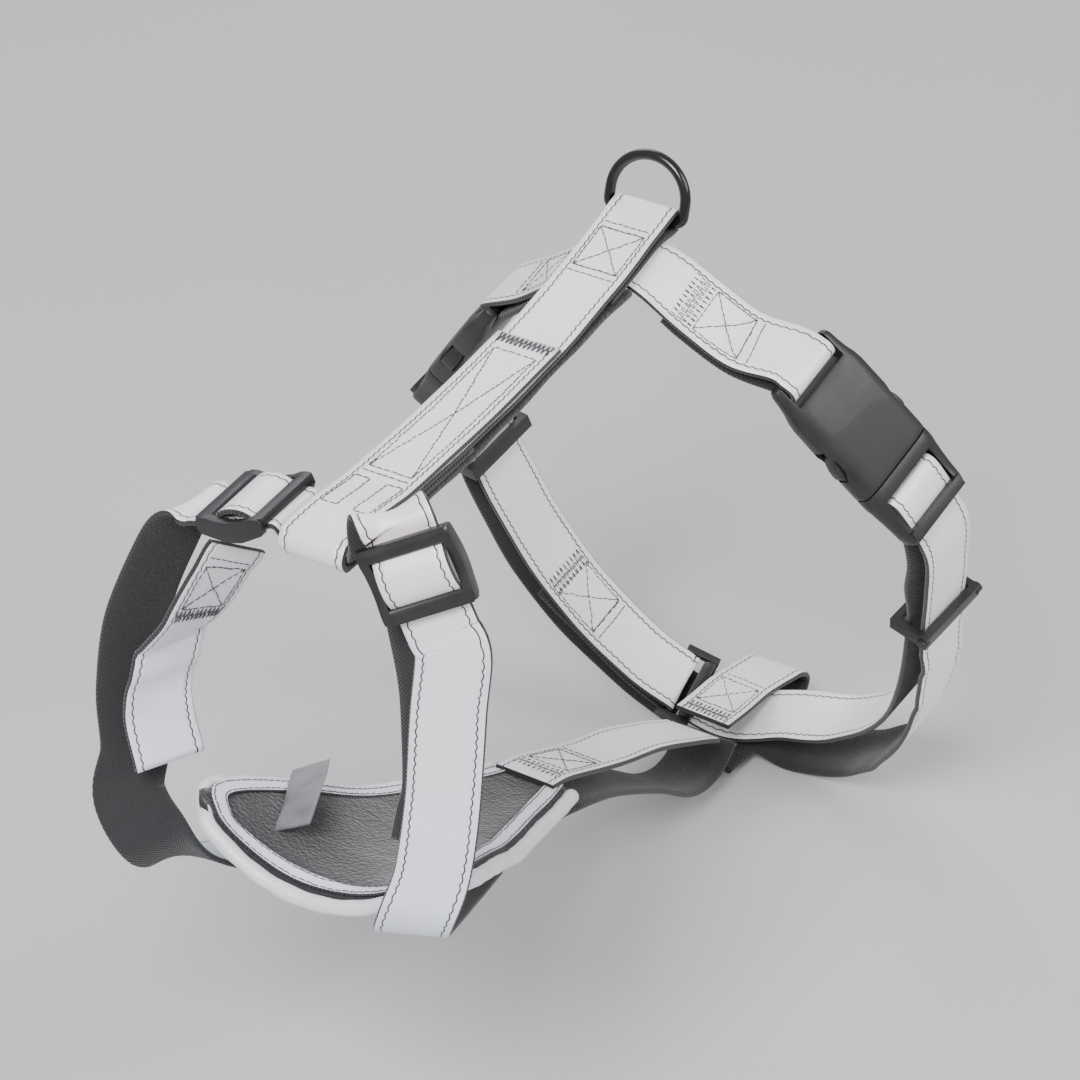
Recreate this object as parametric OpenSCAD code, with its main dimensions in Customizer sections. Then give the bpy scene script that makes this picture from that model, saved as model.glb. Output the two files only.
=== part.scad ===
// Strap dog harness with a Y front, a padded chest piece and a side-release buckle on each flank.
// +X is the dog's left, +Y runs from the chest to the tail, +Z is up. The origin is the axis of
// the lead ring's bar. Millimetres.

/* [Webbing] */
// Width of every webbing strap
strap_w = 25; // [22:1:26]
// Thickness of one layer of webbing
strap_t = 2; // [1.6:0.1:2.2]
// Spline steps between two route points
steps = 5; // [3:1:8]

/* [Lead ring] */
// Wire diameter of the lead ring
ring_wire = 4; // [3:0.5:4]
// Distance between the centres of the ring's two legs
ring_span = 30; // [30:0.5:32]
// Backward lean of the ring
ring_lean = 16; // [0:1:30]

/* [Sliders] */
// Outer width of a shoulder slider
slider_w = 32; // [31:0.5:34]
// Outer length of a shoulder slider
slider_l = 27; // [24:0.5:28]
// Thickness of a slider bar
slider_bar = 3; // [2.5:0.1:3]
// Wall of a keeper loop
keeper_wall = 3; // [2.5:0.1:3.5]

/* [Buckles] */
// Outer width of a side-release buckle
buckle_w = 37; // [36:0.5:39]
// Thickness of a buckle
buckle_t = 11; // [10:0.5:12]
// Reach of the plug's prongs into the socket
prong_l = 20; // [18:0.5:21]

/* [Chest pad] */
// Thickness of the pad's foam
foam_t = 5; // [3:0.5:6]
// Thickness of each cloth face of the pad
cloth_t = 1.2; // [1:0.1:1.4]
// Radius of the piping round the pad
piping_r = 2.8; // [2:0.1:3]

/* [Hidden] */
$fn = 40;
gap = 0.4;
white = "ghostwhite";
black = "#1c1c1f";

// ---- splines -------------------------------------------------------------------------------
function unit(v) = v / norm(v);
function head(q) = [q[0], q[1], q[2]];
function tail(q) = [q[3], q[4], q[5]];
function blend4(a, b, c, d, t) =
    0.5 * (2 * b + (c - a) * t + (2 * a - 5 * b + 4 * c - d) * t * t + (3 * b - a - 3 * c + d) * t * t * t);
function spline(p, n) = let (m = len(p) - 1)
    [for (i = [0 : m - 1]) for (j = [0 : n - 1])
        blend4(i > 0 ? p[i - 1] : 2 * p[0] - p[1], p[i], p[i + 1],
            i + 2 <= m ? p[i + 2] : 2 * p[m] - p[m - 1], j / n), p[m]];
function way(s, i) = unit(head(s[min(i + 1, len(s) - 1)]) - head(s[max(i - 1, 0)]));
function side(s, i) = let (w = way(s, i), a = tail(s[i])) unit(a - w * (a * w));
function up(s, i) = cross(way(s, i), side(s, i));

// Cuts each four-sided face into two triangles, because a twisted face isn't flat
function triangles(faces) = [for (f = faces) for (i = [1 : len(f) - 2]) [f[0], f[i], f[i + 1]]];

// A flat band of webbing along a spline. Each route point is [x, y, z, ax, ay, az]: a place and
// the direction across the band there. lift moves the band along its own normal.
module ribbon(route, w = strap_w, t = strap_t, lift = 0, n = steps) {
    s = spline(route, n);
    k = len(s);
    ring = [[-w / 2, -t / 2], [w / 2, -t / 2], [w / 2, t / 2], [-w / 2, t / 2]];
    points = [for (i = [0 : k - 1]) for (c = ring)
        head(s[i]) + side(s, i) * c[0] + up(s, i) * (c[1] + lift)];
    faces = concat([[0, 1, 2, 3]], [[4 * k - 1, 4 * k - 2, 4 * k - 3, 4 * k - 4]],
        [for (i = [0 : k - 2]) for (j = [0 : 3])
            [4 * i + j, 4 * i + 4 + j, 4 * i + 4 + (j + 1) % 4, 4 * i + (j + 1) % 4]]);
    polyhedron(points, triangles(faces), convexity = 6);
}

// Puts a child, drawn with X across, Y along and Z outwards, at a place on a strap
module at(place, along, across) {
    y = unit(along);
    x = unit(across - y * (across * y));
    z = cross(x, y);
    multmatrix([[x[0], y[0], z[0], place[0]], [x[1], y[1], z[1], place[1]], [x[2], y[2], z[2], place[2]]])
        children();
}

// A centred box
module box(x, y, z) {
    cube([x, y, z], center = true);
}

// A round bar along X
module bar(length, r) {
    rotate([0, 90, 0]) cylinder(h = length, r = r, center = true);
}

// ---- places --------------------------------------------------------------------------------
// Directions across the webbing on the girth, on the near chest strap and on the far one
GIRTH = [0.22, 0.9, 0.37];
NEAR = [0.93, 0.38, 0];
FAR = [0.5, 0.85, 0.15];

// Socket mouth of each buckle and the way its plug is drawn out
mouth_left = [98, 6, -77];
draw_left = unit([0.6, 0.25, -0.76]);
mouth_right = [-80, 8, -86];
draw_right = unit([-0.55, 0.25, -0.8]);
out_left = unit(cross(-GIRTH, draw_left));
out_right = unit(cross(GIRTH, draw_right));

// Shoulder sliders: centre, way down the strap and direction across it
slider_left = [37, -216, -10];
down_left = unit([12, -1, -24]);
across_left = [0.9, 0.4, 0.3];
slider_right = [-30, -207, -13];
down_right = unit([-0.96, 0, -0.29]);
across_right = [0.3, 0.9, 0.1];

// Girth keepers: centre and way down the strap
keeper_left = [111, 32, -154];
keeper_down_left = unit([-9, 22, -66]);
keeper_right = [-87.6, 28.5, -140];
keeper_down_right = unit([4, 8, -24]);

// Ring under the belly, with the way from the dog's right to its left
belly_ring_at = [-12, 65, -257];
belly_way = unit([0.95, 0.15, -0.3]);
belly_up = unit(cross(belly_way, GIRTH));

bar_r = 2.1;
upper_bar = -49;
inner_bar = 12;
outer_bar = 24;
plug_l = 27;
socket_l = 42;
wrap = bar_r + 0.5 + strap_t / 2;
ring_bar_r = 1.6;
ring_wrap = ring_bar_r + 0.5 + strap_t / 2;
ring_half = 5.5;

// ---- routes --------------------------------------------------------------------------------
function join(p, a) = [p[0], p[1], p[2], a[0], a[1], a[2]];
function on(points, a) = [for (p = points) join(p, a)];
function there(o, y, z, b, c) = o + y * b + z * c;

// The part of a direction that is square to the way y
function square_to(a, y) = unit(a - y * (a * y));

// A half turn round a bar, from under it to over it, on the side that y points to. lean turns the
// whole arc, so that it meets a strap that comes to the bar at an angle.
function turn(o, y, z, r, a, lean = 0) =
    [for (d = [-90 : 45 : 90]) join(o + y * r * cos(d + lean) + z * r * sin(d + lean), square_to(a, y))];

back_route = on(concat(
    [[0, -46, -8.9], [0, -30, -6], [0, -12, -3.2]],
    [for (d = [-90 : 45 : 90]) [0, wrap * cos(d), wrap * sin(d)]],
    [[0, -14, 0.6], [0, -40, -5], [0, -82, -11], [0, -130, -13], [0, -176, -12.5], [0, -186, -12.5]]),
    [1, 0, 0]);
front_loop_route = on(concat(
    [[0, -82, -8.6], [0, -130, -10.6], [0, -176, -10.1], [0, -188, -9.2], [0, -200, -7.7]],
    [for (d = [180 : -45 : 0]) [0, -216.5 - 4.5 * sin(d), -12 - 4.5 * cos(d)]],
    [[0, -200, -16.5], [0, -188, -15.5], [0, -176, -14.9], [0, -140, -15.4]]), [1, 0, 0]);
lining_route = on([[0, -32, -12.2], [0, -54, -12.5], [0, -82, -14.2], [0, -120, -17], [0, -140, -18.2],
    [0, -176, -17.9]], [1, 0, 0]);

neck_route = concat(
    on([[14, -150, -188], [27, -188, -168], [38, -218, -151], [44, -236, -141], [49, -240, -129],
        [52, -235, -114], [52, -228, -90], [50, -220, -58]], NEAR),
    on([for (d = [30, 22, 13, 0, -13, -18]) there(slider_left, down_left, [0, 0, 0], d, 0)], across_left),
    [[24, -213, 6, 0.85, 0.45, 0.3], [20, -210.5, -4.5, 0.5, 0.8, 0.3], [13, -206.3, -12.1, 0.05, 0.99, 0],
        [0, -206, -12.1, 0.02, 0.99, 0], [-11, -206.8, -12.3, 0.02, 0.99, 0]],
    on([for (d = [-15, -9.5]) there(slider_right, down_right, [0, 0, 1], d, -0.25)], [0, 1, 0]),
    on([for (d = [0, 14, 20, 24]) there(slider_right, down_right, [0, 0, 0], d, 0)], across_right),
    on([[-63, -211, -34], [-72, -218, -62], [-74, -223, -90], [-70, -228, -112]], FAR),
    [[-68, -236, -128, 0.6, 0.75, 0.1], [-55, -237, -143, 0.75, 0.5, 0.1], [-44, -222, -154, 0.88, 0.1, 0],
        [-30, -188, -168, 0.93, -0.35, 0], [-14, -150, -188, 0.93, -0.36, 0]]);
shoulder_left_route = on([[29, -208, -14], [35, -210, -32], [42, -214, -58], [45, -218, -90],
    [44, -221, -104], [43, -223, -114]], [0.93, 0.38, 0.1]);
shoulder_right_route = on([[-35, -212, -27.5], [-39, -216, -36], [-47, -220, -53], [-57, -222, -70],
    [-62, -225, -92], [-56, -228, -114]], FAR);

function backwards(p) = [for (q = [len(p) - 1 : -1 : 0]) p[q]];
top_route = concat(
    on([[-19, -13.8, -18.8], [-26, -11.8, -25.2], [-37, -8.3, -36.8]], GIRTH),
    turn(there(mouth_right, draw_right, out_right, upper_bar, 0), draw_right, out_right, wrap, GIRTH, 23),
    on([[-38.5, -9.6, -33], [-25, -13.2, -22.2]], GIRTH),
    [[-13, -17, -11.5, 0.1, 0.95, 0.25], [0, -18, -7.7, 0, 0.98, 0.18], [14, -17, -10.5, 0.1, 0.95, 0.25]],
    on([[30, -12.5, -23], [46, -9.3, -33], [62.6, -7.4, -34.9]], GIRTH),
    backwards(turn(there(mouth_left, draw_left, out_left, upper_bar, 0), draw_left, out_left, wrap, GIRTH,
        41)),
    on([[61.1, -4.1, -41.1], [45, -7.8, -36.8], [29.5, -11.4, -26.2], [22, -13.4, -19.8]], GIRTH));

function turn_route(o, y, z, inner_leg, outer_leg) = concat(
    on(inner_leg, GIRTH), [join(there(o, y, z, inner_bar + 9, -wrap - 0.4), square_to(GIRTH, y))],
    [for (q = [0 : 4]) turn(there(o, y, z, inner_bar, 0), -y, z, wrap, GIRTH)[q]],
    on([there(o, y, z, inner_bar + 6, 2.4), there(o, y, z, outer_bar, 0.5)], square_to(GIRTH, y)),
    on(outer_leg, GIRTH));
turn_left_route = turn_route(mouth_left, draw_left, out_left,
    [[107.1, 23.4, -129.6], [109.5, 19, -115]], [[117, 17.5, -110], [115, 24, -130]]);
turn_right_route = turn_route(mouth_right, draw_right, out_right,
    [[-81.4, 24.3, -129.6], [-86, 20, -116]], [[-94, 19, -116], [-89.3, 25.4, -131.5]]);

outer_left_route = on([[114.9, 24.3, -130.8], keeper_left, [105, 45, -195], [93, 55, -230], [68, 69, -262],
    [40, 72, -272.5], [24, 69, -267], [8, 66, -264.5]], GIRTH);
outer_right_route = on([[-88.9, 26.3, -133.8], keeper_right, [-85, 34, -158], [-74, 46, -197],
    [-57, 55, -227], [-34, 63, -252], [-14, 67, -266]], GIRTH);
inner_left_route = concat(
    on([[106.9, 24.3, -131.8], [104.7, 33.1, -152.8], [96, 46, -196], [82, 59, -226],
        [58, 69, -249], [33, 69, -257], [12, 65, -262]], GIRTH),
    turn(there(belly_ring_at, belly_way, belly_up, ring_half, 0), -belly_way, belly_up, ring_wrap, GIRTH,
        -15));
inner_right_route = concat(
    on([[-81.1, 24.6, -132.1], [-79.5, 26.5, -139.5], [-75.9, 32.6, -157.6], [-66, 45, -193], [-51, 53, -220],
        [-30, 60, -243.5]], GIRTH),
    backwards(turn(there(belly_ring_at, belly_way, belly_up, -ring_half, 0), belly_way, belly_up,
        ring_wrap, GIRTH, -30)),
    on([[-30, 61.5, -247.5], [-51.7, 54, -223.2], [-63, 47.5, -207]], GIRTH));

sternum_route = on([[0, -86, -195.6], [0.5, -76, -198.6], [1, -66, -203], [3, -40, -215],
    [5, -12, -226], [7, 15, -240], [8, 32, -250]], [1, 0, 0]);
sternum_lower_route = on([[1, -120, -198], [2, -90, -208], [4, -50, -223], [6, -15, -244], [8, 10, -262],
    [9, 28, -266], [9, 44, -259]], [1, 0, 0]);
flap_route = on([[7, 42, -250], [8, 56, -251.5], [9, 72, -253], [11, 88, -255.5], [12, 97, -258],
    [12, 102, -264], [12, 96, -270], [11, 80, -273.5], [9, 60, -274], [8, 42, -272]], [1, 0, 0]);

// ---- webbing -------------------------------------------------------------------------------
module back_strap() {
    color(white) ribbon(back_route);
}

// The folded webbing that ties the neck strap to the front of the back strap
module front_loop() {
    color(white) ribbon(front_loop_route);
}

module back_lining() {
    color(black) ribbon(lining_route, t = 3);
}

module neck_strap() {
    color(white) ribbon(neck_route);
}

module shoulder_inner(route) {
    color(white) ribbon(route);
}

module sternum_strap() {
    color(white) ribbon(sternum_route);
}

module sternum_strap_lower() {
    color(white) ribbon(sternum_lower_route);
}

module belly_flap() {
    color(white) ribbon(flap_route);
}

module girth_top_strap() {
    color(white) ribbon(top_route);
}

module girth_run(route) {
    color(white) ribbon(route);
}

// ---- lead ring -----------------------------------------------------------------------------
module d_ring() {
    leg = 7;
    r = ring_wire / 2;
    color(black) rotate([-ring_lean, 0, 0]) {
        bar(ring_span, r);
        for (s = [-1, 1]) translate([s * ring_span / 2, 0, 0]) {
            sphere(r);
            cylinder(h = leg, r = r);
        }
        translate([0, 0, leg]) rotate([90, 0, 0]) rotate_extrude(angle = 180)
            translate([ring_span / 2, 0]) circle(r);
    }
}

// ---- sliders and keepers -------------------------------------------------------------------
// A slider: two outer bars over the strap, a middle bar under it and a rail down each side
module slider() {
    over = strap_t / 2 + gap + slider_bar / 2;
    rail = (slider_w - strap_w) / 2 - gap;
    color(black) {
        for (s = [-1, 1]) translate([0, s * (slider_l / 2 - 2), over]) {
            box(slider_w - 2, 4, slider_bar);
            translate([0, -s * 2, 0]) bar(slider_w - 2, slider_bar / 2);
        }
        translate([0, 0, -over]) bar(slider_w - 2, slider_bar / 2);
        for (s = [-1, 1]) translate([s * (slider_w - rail) / 2, 0, 0]) {
            box(rail, slider_l - 4, 2 * over - 0.6);
            for (e = [-1, 1]) translate([0, e * (slider_l / 2 - 2), slider_bar / 2])
                box(rail, 4, over + slider_bar / 2);
            translate([0, 0, -over + 0.5]) box(rail, slider_l - 12, slider_bar);
        }
    }
}

// A keeper: a rectangular loop round both layers of the girth strap, depth mm apart
module keeper(depth) {
    slack = 0.9;
    inside = depth + strap_t + 2 * slack;
    mid = -depth / 2;
    color(black) {
        for (s = [-1, 1]) translate([0, 0, mid + s * (inside + keeper_wall) / 2])
            box(strap_w + 2 * slack + 2 * keeper_wall, 6, keeper_wall);
        for (s = [-1, 1]) translate([s * (strap_w + 2 * slack + keeper_wall) / 2, 0, mid])
            box(keeper_wall, 6, inside + 2 * keeper_wall - 0.02);
    }
}

// ---- side-release buckle -------------------------------------------------------------------
module buckle_socket() {
    half = buckle_w / 2;
    wall = 2.3;
    color(black) difference() {
        union() {
            translate([0, -socket_l / 2, 0]) box(buckle_w, socket_l, buckle_t);
            for (s = [-1, 1]) translate([s * (strap_w / 2 + 2.6), upper_bar + 2, 0]) box(4, 14, 6);
            translate([0, upper_bar, 0]) bar(strap_w + 8, bar_r);
            for (s = [-1, 1]) translate([s * (strap_w / 2 + 2.6), upper_bar - 4, 0])
                cylinder(h = 6, r = 2, center = true);
        }
        translate([0, -socket_l / 2 + wall, 0]) box(buckle_w - 2 * wall, socket_l, buckle_t - 2 * wall);
        for (s = [-1, 1]) translate([s * half, -17, 0]) box(3 * wall, 15, buckle_t - 2 * wall);
    }
}

module buckle_plug() {
    rail = (buckle_w - strap_w) / 2 - 1;
    inner = buckle_t - 2 * 2.3 - 0.8;
    color(black) {
        translate([0, 3.3, 0]) box(buckle_w, 5.4, buckle_t);
        for (s = [-1, 1]) translate([s * (buckle_w - rail) / 2, plug_l / 2 + 1, 0])
            box(rail, plug_l - 2, buckle_t - 3);
        translate([0, inner_bar, 0]) bar(strap_w + 4, bar_r);
        translate([0, outer_bar, 3.9]) box(strap_w + 4, 4.4, 3);
        translate([0, -prong_l / 2 + 0.7, 0]) box(7, prong_l, inner);
        translate([0, -prong_l + 0.7, 0]) cylinder(h = inner, r = 3.5, center = true);
    }
}

// One springy arm of the plug: a thin leg with a barb that sits in the socket's side window
module latch_arm(s) {
    inner = buckle_t - 2 * 2.3 - 0.8;
    color(black) linear_extrude(inner, center = true) polygon([[s * 9.6, 0.2], [s * 13.6, 0.2],
        [s * 13.8, -9.9], [s * 18.4, -10.2], [s * 19, -13], [s * 18, -18], [s * 14.5, -22.5],
        [s * 10.6, -20], [s * 11.4, -10]]);
}

module place_left() {
    at(mouth_left, draw_left, -GIRTH) children();
}

module place_right() {
    at(mouth_right, draw_right, GIRTH) children();
}

module belly_ring() {
    color(black) at(belly_ring_at, belly_way, -GIRTH) {
        for (s = [-1, 1]) translate([0, s * ring_half, 0]) bar(strap_w + 6, ring_bar_r);
        for (s = [-1, 1]) translate([s * (strap_w / 2 + 2.5), 0, 0]) box(3, 2 * ring_half + 3.2, 3.2);
    }
}

// ---- chest pad -----------------------------------------------------------------------------
// Stations from the chest to the belly: [y, half width, height in the middle, rise at the edges]
pad_stations = [[-228, 45, -142, 18], [-222, 49, -144, 19], [-202, 47, -152, 17], [-178, 40, -162, 12],
    [-150, 31, -175, 6], [-120, 23, -186, 3.5], [-95, 17, -195, 2], [-78, 13, -200, 1]];
pad_cols = 10;
function between(a, b, t) = a + (b - a) * t;
function pad_row(i, inset) = let (p = pad_stations, m = len(p) - 1)
    i == 0 ? between(p[0], p[1], inset / (p[1][0] - p[0][0])) :
    i == m ? between(p[m], p[m - 1], inset / (p[m][0] - p[m - 1][0])) : p[i];

// A place on the pad: u runs from one edge (-1) to the other (1), drop is the depth below its top
function pad_at(s, u, drop, inset = 0) = let (x = (s[1] - inset) * u, e = x / s[1])
    [x, s[0] - 4 * (1 - e * e) * (s[0] < -200 ? 1 : 0), s[2] + s[3] * e * e - drop];

// One layer of the pad, from top to bottom mm under the pad's upper face, inset at its edges
module pad_layer(top, bottom, inset) {
    rows = len(pad_stations);
    n = pad_cols + 1;
    points = [for (d = [top, bottom]) for (i = [0 : rows - 1]) for (j = [0 : pad_cols])
        pad_at(pad_row(i, inset), 2 * j / pad_cols - 1, d, inset)];
    low = rows * n;
    faces = concat(
        [for (i = [0 : rows - 2]) for (j = [0 : pad_cols - 1])
            [i * n + j, (i + 1) * n + j, (i + 1) * n + j + 1, i * n + j + 1]],
        [for (i = [0 : rows - 2]) for (j = [0 : pad_cols - 1])
            [low + i * n + j, low + i * n + j + 1, low + (i + 1) * n + j + 1, low + (i + 1) * n + j]],
        [for (j = [0 : pad_cols - 1]) [j, j + 1, low + j + 1, low + j]],
        [for (j = [0 : pad_cols - 1]) let (k = (rows - 1) * n + j) [k + 1, k, low + k, low + k + 1]],
        [for (i = [0 : rows - 2]) [(i + 1) * n, i * n, low + i * n, low + (i + 1) * n]],
        [for (i = [0 : rows - 2]) let (k = i * n + pad_cols) [k, k + n, low + k + n, low + k]]);
    polyhedron(points, triangles(faces), convexity = 6);
}

module chest_pad_lining() {
    color(black) pad_layer(0, cloth_t, 0);
}

module chest_pad_foam() {
    color("dimgray") pad_layer(cloth_t + gap, cloth_t + foam_t - gap, 2);
}

module chest_pad_shell() {
    color(black) pad_layer(cloth_t + foam_t, 2 * cloth_t + foam_t, 0);
}

// The piping runs down one edge, round the front and back along the other edge
piping_drop = 4;
piping_off = piping_r + 0.2;
piping_path = concat(
    [for (i = [len(pad_stations) - 1 : -1 : 1])
        pad_at(pad_stations[i], -1, piping_drop) - [piping_off, 0, 0]],
    [for (j = [0 : pad_cols])
        pad_at(pad_stations[0], 2 * j / pad_cols - 1, piping_drop) - [0, piping_off, 0]],
    [for (i = [1 : len(pad_stations) - 1]) pad_at(pad_stations[i], 1, piping_drop) + [piping_off, 0, 0]]);

module chest_pad_piping() {
    s = spline([for (p = piping_path) join(p, [0.1, 0.2, 1])], 2);
    k = len(s);
    sides = 8;
    points = [for (i = [0 : k - 1]) for (j = [0 : sides - 1]) let (a = 360 * j / sides)
        head(s[i]) + side(s, i) * piping_r * cos(a) + up(s, i) * piping_r * sin(a)];
    faces = concat([[for (j = [0 : sides - 1]) j]], [[for (j = [sides - 1 : -1 : 0]) (k - 1) * sides + j]],
        [for (i = [0 : k - 2]) for (j = [0 : sides - 1]) [i * sides + j, (i + 1) * sides + j,
            (i + 1) * sides + (j + 1) % sides, i * sides + (j + 1) % sides]]);
    color(white) polyhedron(points, triangles(faces), convexity = 6);
}

module care_label() {
    color("gray") ribbon(on([[-20, -210, -141], [-24, -198, -141.2], [-30, -185, -143.2], [-37, -171, -147]],
        [0.8, 0.3, 0.35]), w = 14, t = 0.6);
}

// ---- the harness ---------------------------------------------------------------------------
back_strap();
front_loop();
back_lining();
d_ring();
neck_strap();
shoulder_inner(shoulder_left_route);  // shoulder_inner_left
shoulder_inner(shoulder_right_route);  // shoulder_inner_right
at(slider_left, down_left, -across_left) slider();  // shoulder_slider_left
at(slider_right, down_right, across_right) slider();  // shoulder_slider_right
chest_pad_lining();
chest_pad_foam();
chest_pad_shell();
chest_pad_piping();
care_label();
sternum_strap();
sternum_strap_lower();
belly_flap();
belly_ring();
girth_top_strap();
place_left() buckle_socket();  // buckle_socket_left
place_right() buckle_socket();  // buckle_socket_right
place_left() buckle_plug();  // buckle_plug_left
place_right() buckle_plug();  // buckle_plug_right
place_left() latch_arm(1);  // latch_arm_left_front
place_left() latch_arm(-1);  // latch_arm_left_rear
place_right() latch_arm(-1);  // latch_arm_right_front
place_right() latch_arm(1);  // latch_arm_right_rear
girth_run(inner_left_route);  // girth_inner_left
girth_run(inner_right_route);  // girth_inner_right
girth_run(outer_left_route);  // girth_outer_left
girth_run(outer_right_route);  // girth_outer_right
girth_run(turn_left_route);  // girth_turn_left
girth_run(turn_right_route);  // girth_turn_right
at(keeper_left, keeper_down_left, -GIRTH) keeper(7);  // girth_keeper_left
at(keeper_right, keeper_down_right, GIRTH) keeper(9);  // girth_keeper_right
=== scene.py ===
import math
import random

import bmesh
import bpy
import numpy as np
from mathutils import Matrix, Vector


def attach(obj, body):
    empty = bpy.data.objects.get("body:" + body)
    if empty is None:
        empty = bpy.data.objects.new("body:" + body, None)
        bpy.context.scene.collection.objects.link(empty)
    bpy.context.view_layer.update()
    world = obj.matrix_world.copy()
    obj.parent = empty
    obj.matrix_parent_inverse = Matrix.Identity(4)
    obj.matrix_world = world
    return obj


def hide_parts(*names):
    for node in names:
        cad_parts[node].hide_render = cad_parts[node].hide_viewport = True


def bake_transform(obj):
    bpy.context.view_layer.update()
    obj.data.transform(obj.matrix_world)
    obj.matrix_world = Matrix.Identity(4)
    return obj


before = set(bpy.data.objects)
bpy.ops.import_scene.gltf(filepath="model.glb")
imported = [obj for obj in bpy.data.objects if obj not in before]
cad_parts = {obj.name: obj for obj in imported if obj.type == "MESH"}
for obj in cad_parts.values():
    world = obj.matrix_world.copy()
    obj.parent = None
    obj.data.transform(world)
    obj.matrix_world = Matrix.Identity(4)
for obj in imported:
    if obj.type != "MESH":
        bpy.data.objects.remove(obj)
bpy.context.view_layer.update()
random.seed(7)
rng = np.random.default_rng(7)
MM = 0.001

# ---- camera ---------------------------------------------------------------------------------
target = Vector((0.0008, -0.076, -0.095))
camera = bpy.data.objects.new("camera", bpy.data.cameras.new("camera"))
bpy.context.scene.collection.objects.link(camera)
bpy.context.scene.camera = camera
az, el = math.radians(30), math.radians(35)
camera.location = target + 1.5 * Vector((math.sin(az) * math.cos(el), -math.cos(az) * math.cos(el), math.sin(el)))
camera.rotation_euler = (target - camera.location).to_track_quat("-Z", "Y").to_euler()
camera.data.lens = 140.5
camera.data.sensor_width = 36
camera.data.clip_start = 0.01


# ---- materials ------------------------------------------------------------------------------
class Nodes:
    """A material's node tree, with short ways to add nodes and join them."""

    def __init__(self, name):
        self.material = bpy.data.materials.new(name)
        self.material.use_nodes = True
        self.tree = self.material.node_tree
        self.shader = self.tree.nodes["Principled BSDF"]

    def add(self, kind, **values):
        n = self.tree.nodes.new(kind)
        for key, value in values.items():
            setattr(n, key, value)
        return n

    def put(self, socket, value):
        if isinstance(value, bpy.types.NodeSocket):
            self.tree.links.new(value, socket)
        else:
            socket.default_value = value

    def math(self, operation, *values):
        n = self.add("ShaderNodeMath", operation=operation)
        for i, v in enumerate(values):
            self.put(n.inputs[i], v)
        return n.outputs[0]

    def ramp(self, value, low, high, a=0.0, b=1.0):
        n = self.add("ShaderNodeMapRange", clamp=True)
        for i, v in enumerate((value, low, high, a, b)):
            self.put(n.inputs[i], v)
        return n.outputs[0]

    def mix(self, factor, a, b):
        n = self.add("ShaderNodeMix", data_type="RGBA")
        self.put(n.inputs["Factor"], factor)
        self.put(n.inputs[6], a)
        self.put(n.inputs[7], b)
        return n.outputs[2]

    def noise(self, vector, scale, detail=3.0, rough=0.5):
        n = self.add("ShaderNodeTexNoise")
        self.put(n.inputs["Vector"], vector)
        n.inputs["Scale"].default_value = scale
        n.inputs["Detail"].default_value = detail
        n.inputs["Roughness"].default_value = rough
        return n.outputs["Fac"]

    def voronoi(self, vector, scale, feature="F1"):
        n = self.add("ShaderNodeTexVoronoi", feature=feature)
        self.put(n.inputs["Vector"], vector)
        n.inputs["Scale"].default_value = scale
        return n.outputs["Distance"]

    def place(self):
        return self.add("ShaderNodeTexCoord").outputs["Object"]

    def uv(self):
        n = self.add("ShaderNodeSeparateXYZ")
        self.put(n.inputs[0], self.add("ShaderNodeUVMap", uv_map="strap").outputs[0])
        return n.outputs[0], n.outputs[1]

    def bump(self, height, distance, strength=1.0, under=None):
        n = self.add("ShaderNodeBump")
        self.put(n.inputs["Height"], height)
        n.inputs["Distance"].default_value = distance
        n.inputs["Strength"].default_value = strength
        if under is not None:
            self.put(n.inputs["Normal"], under)
        return n.outputs[0]

    def end(self, colour, rough, normal=None, **extra):
        self.put(self.shader.inputs["Base Color"], colour)
        self.put(self.shader.inputs["Roughness"], rough)
        if normal is not None:
            self.put(self.shader.inputs["Normal"], normal)
        for key, value in extra.items():
            self.shader.inputs[key.replace("_", " ")].default_value = value
        return self.material


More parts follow.
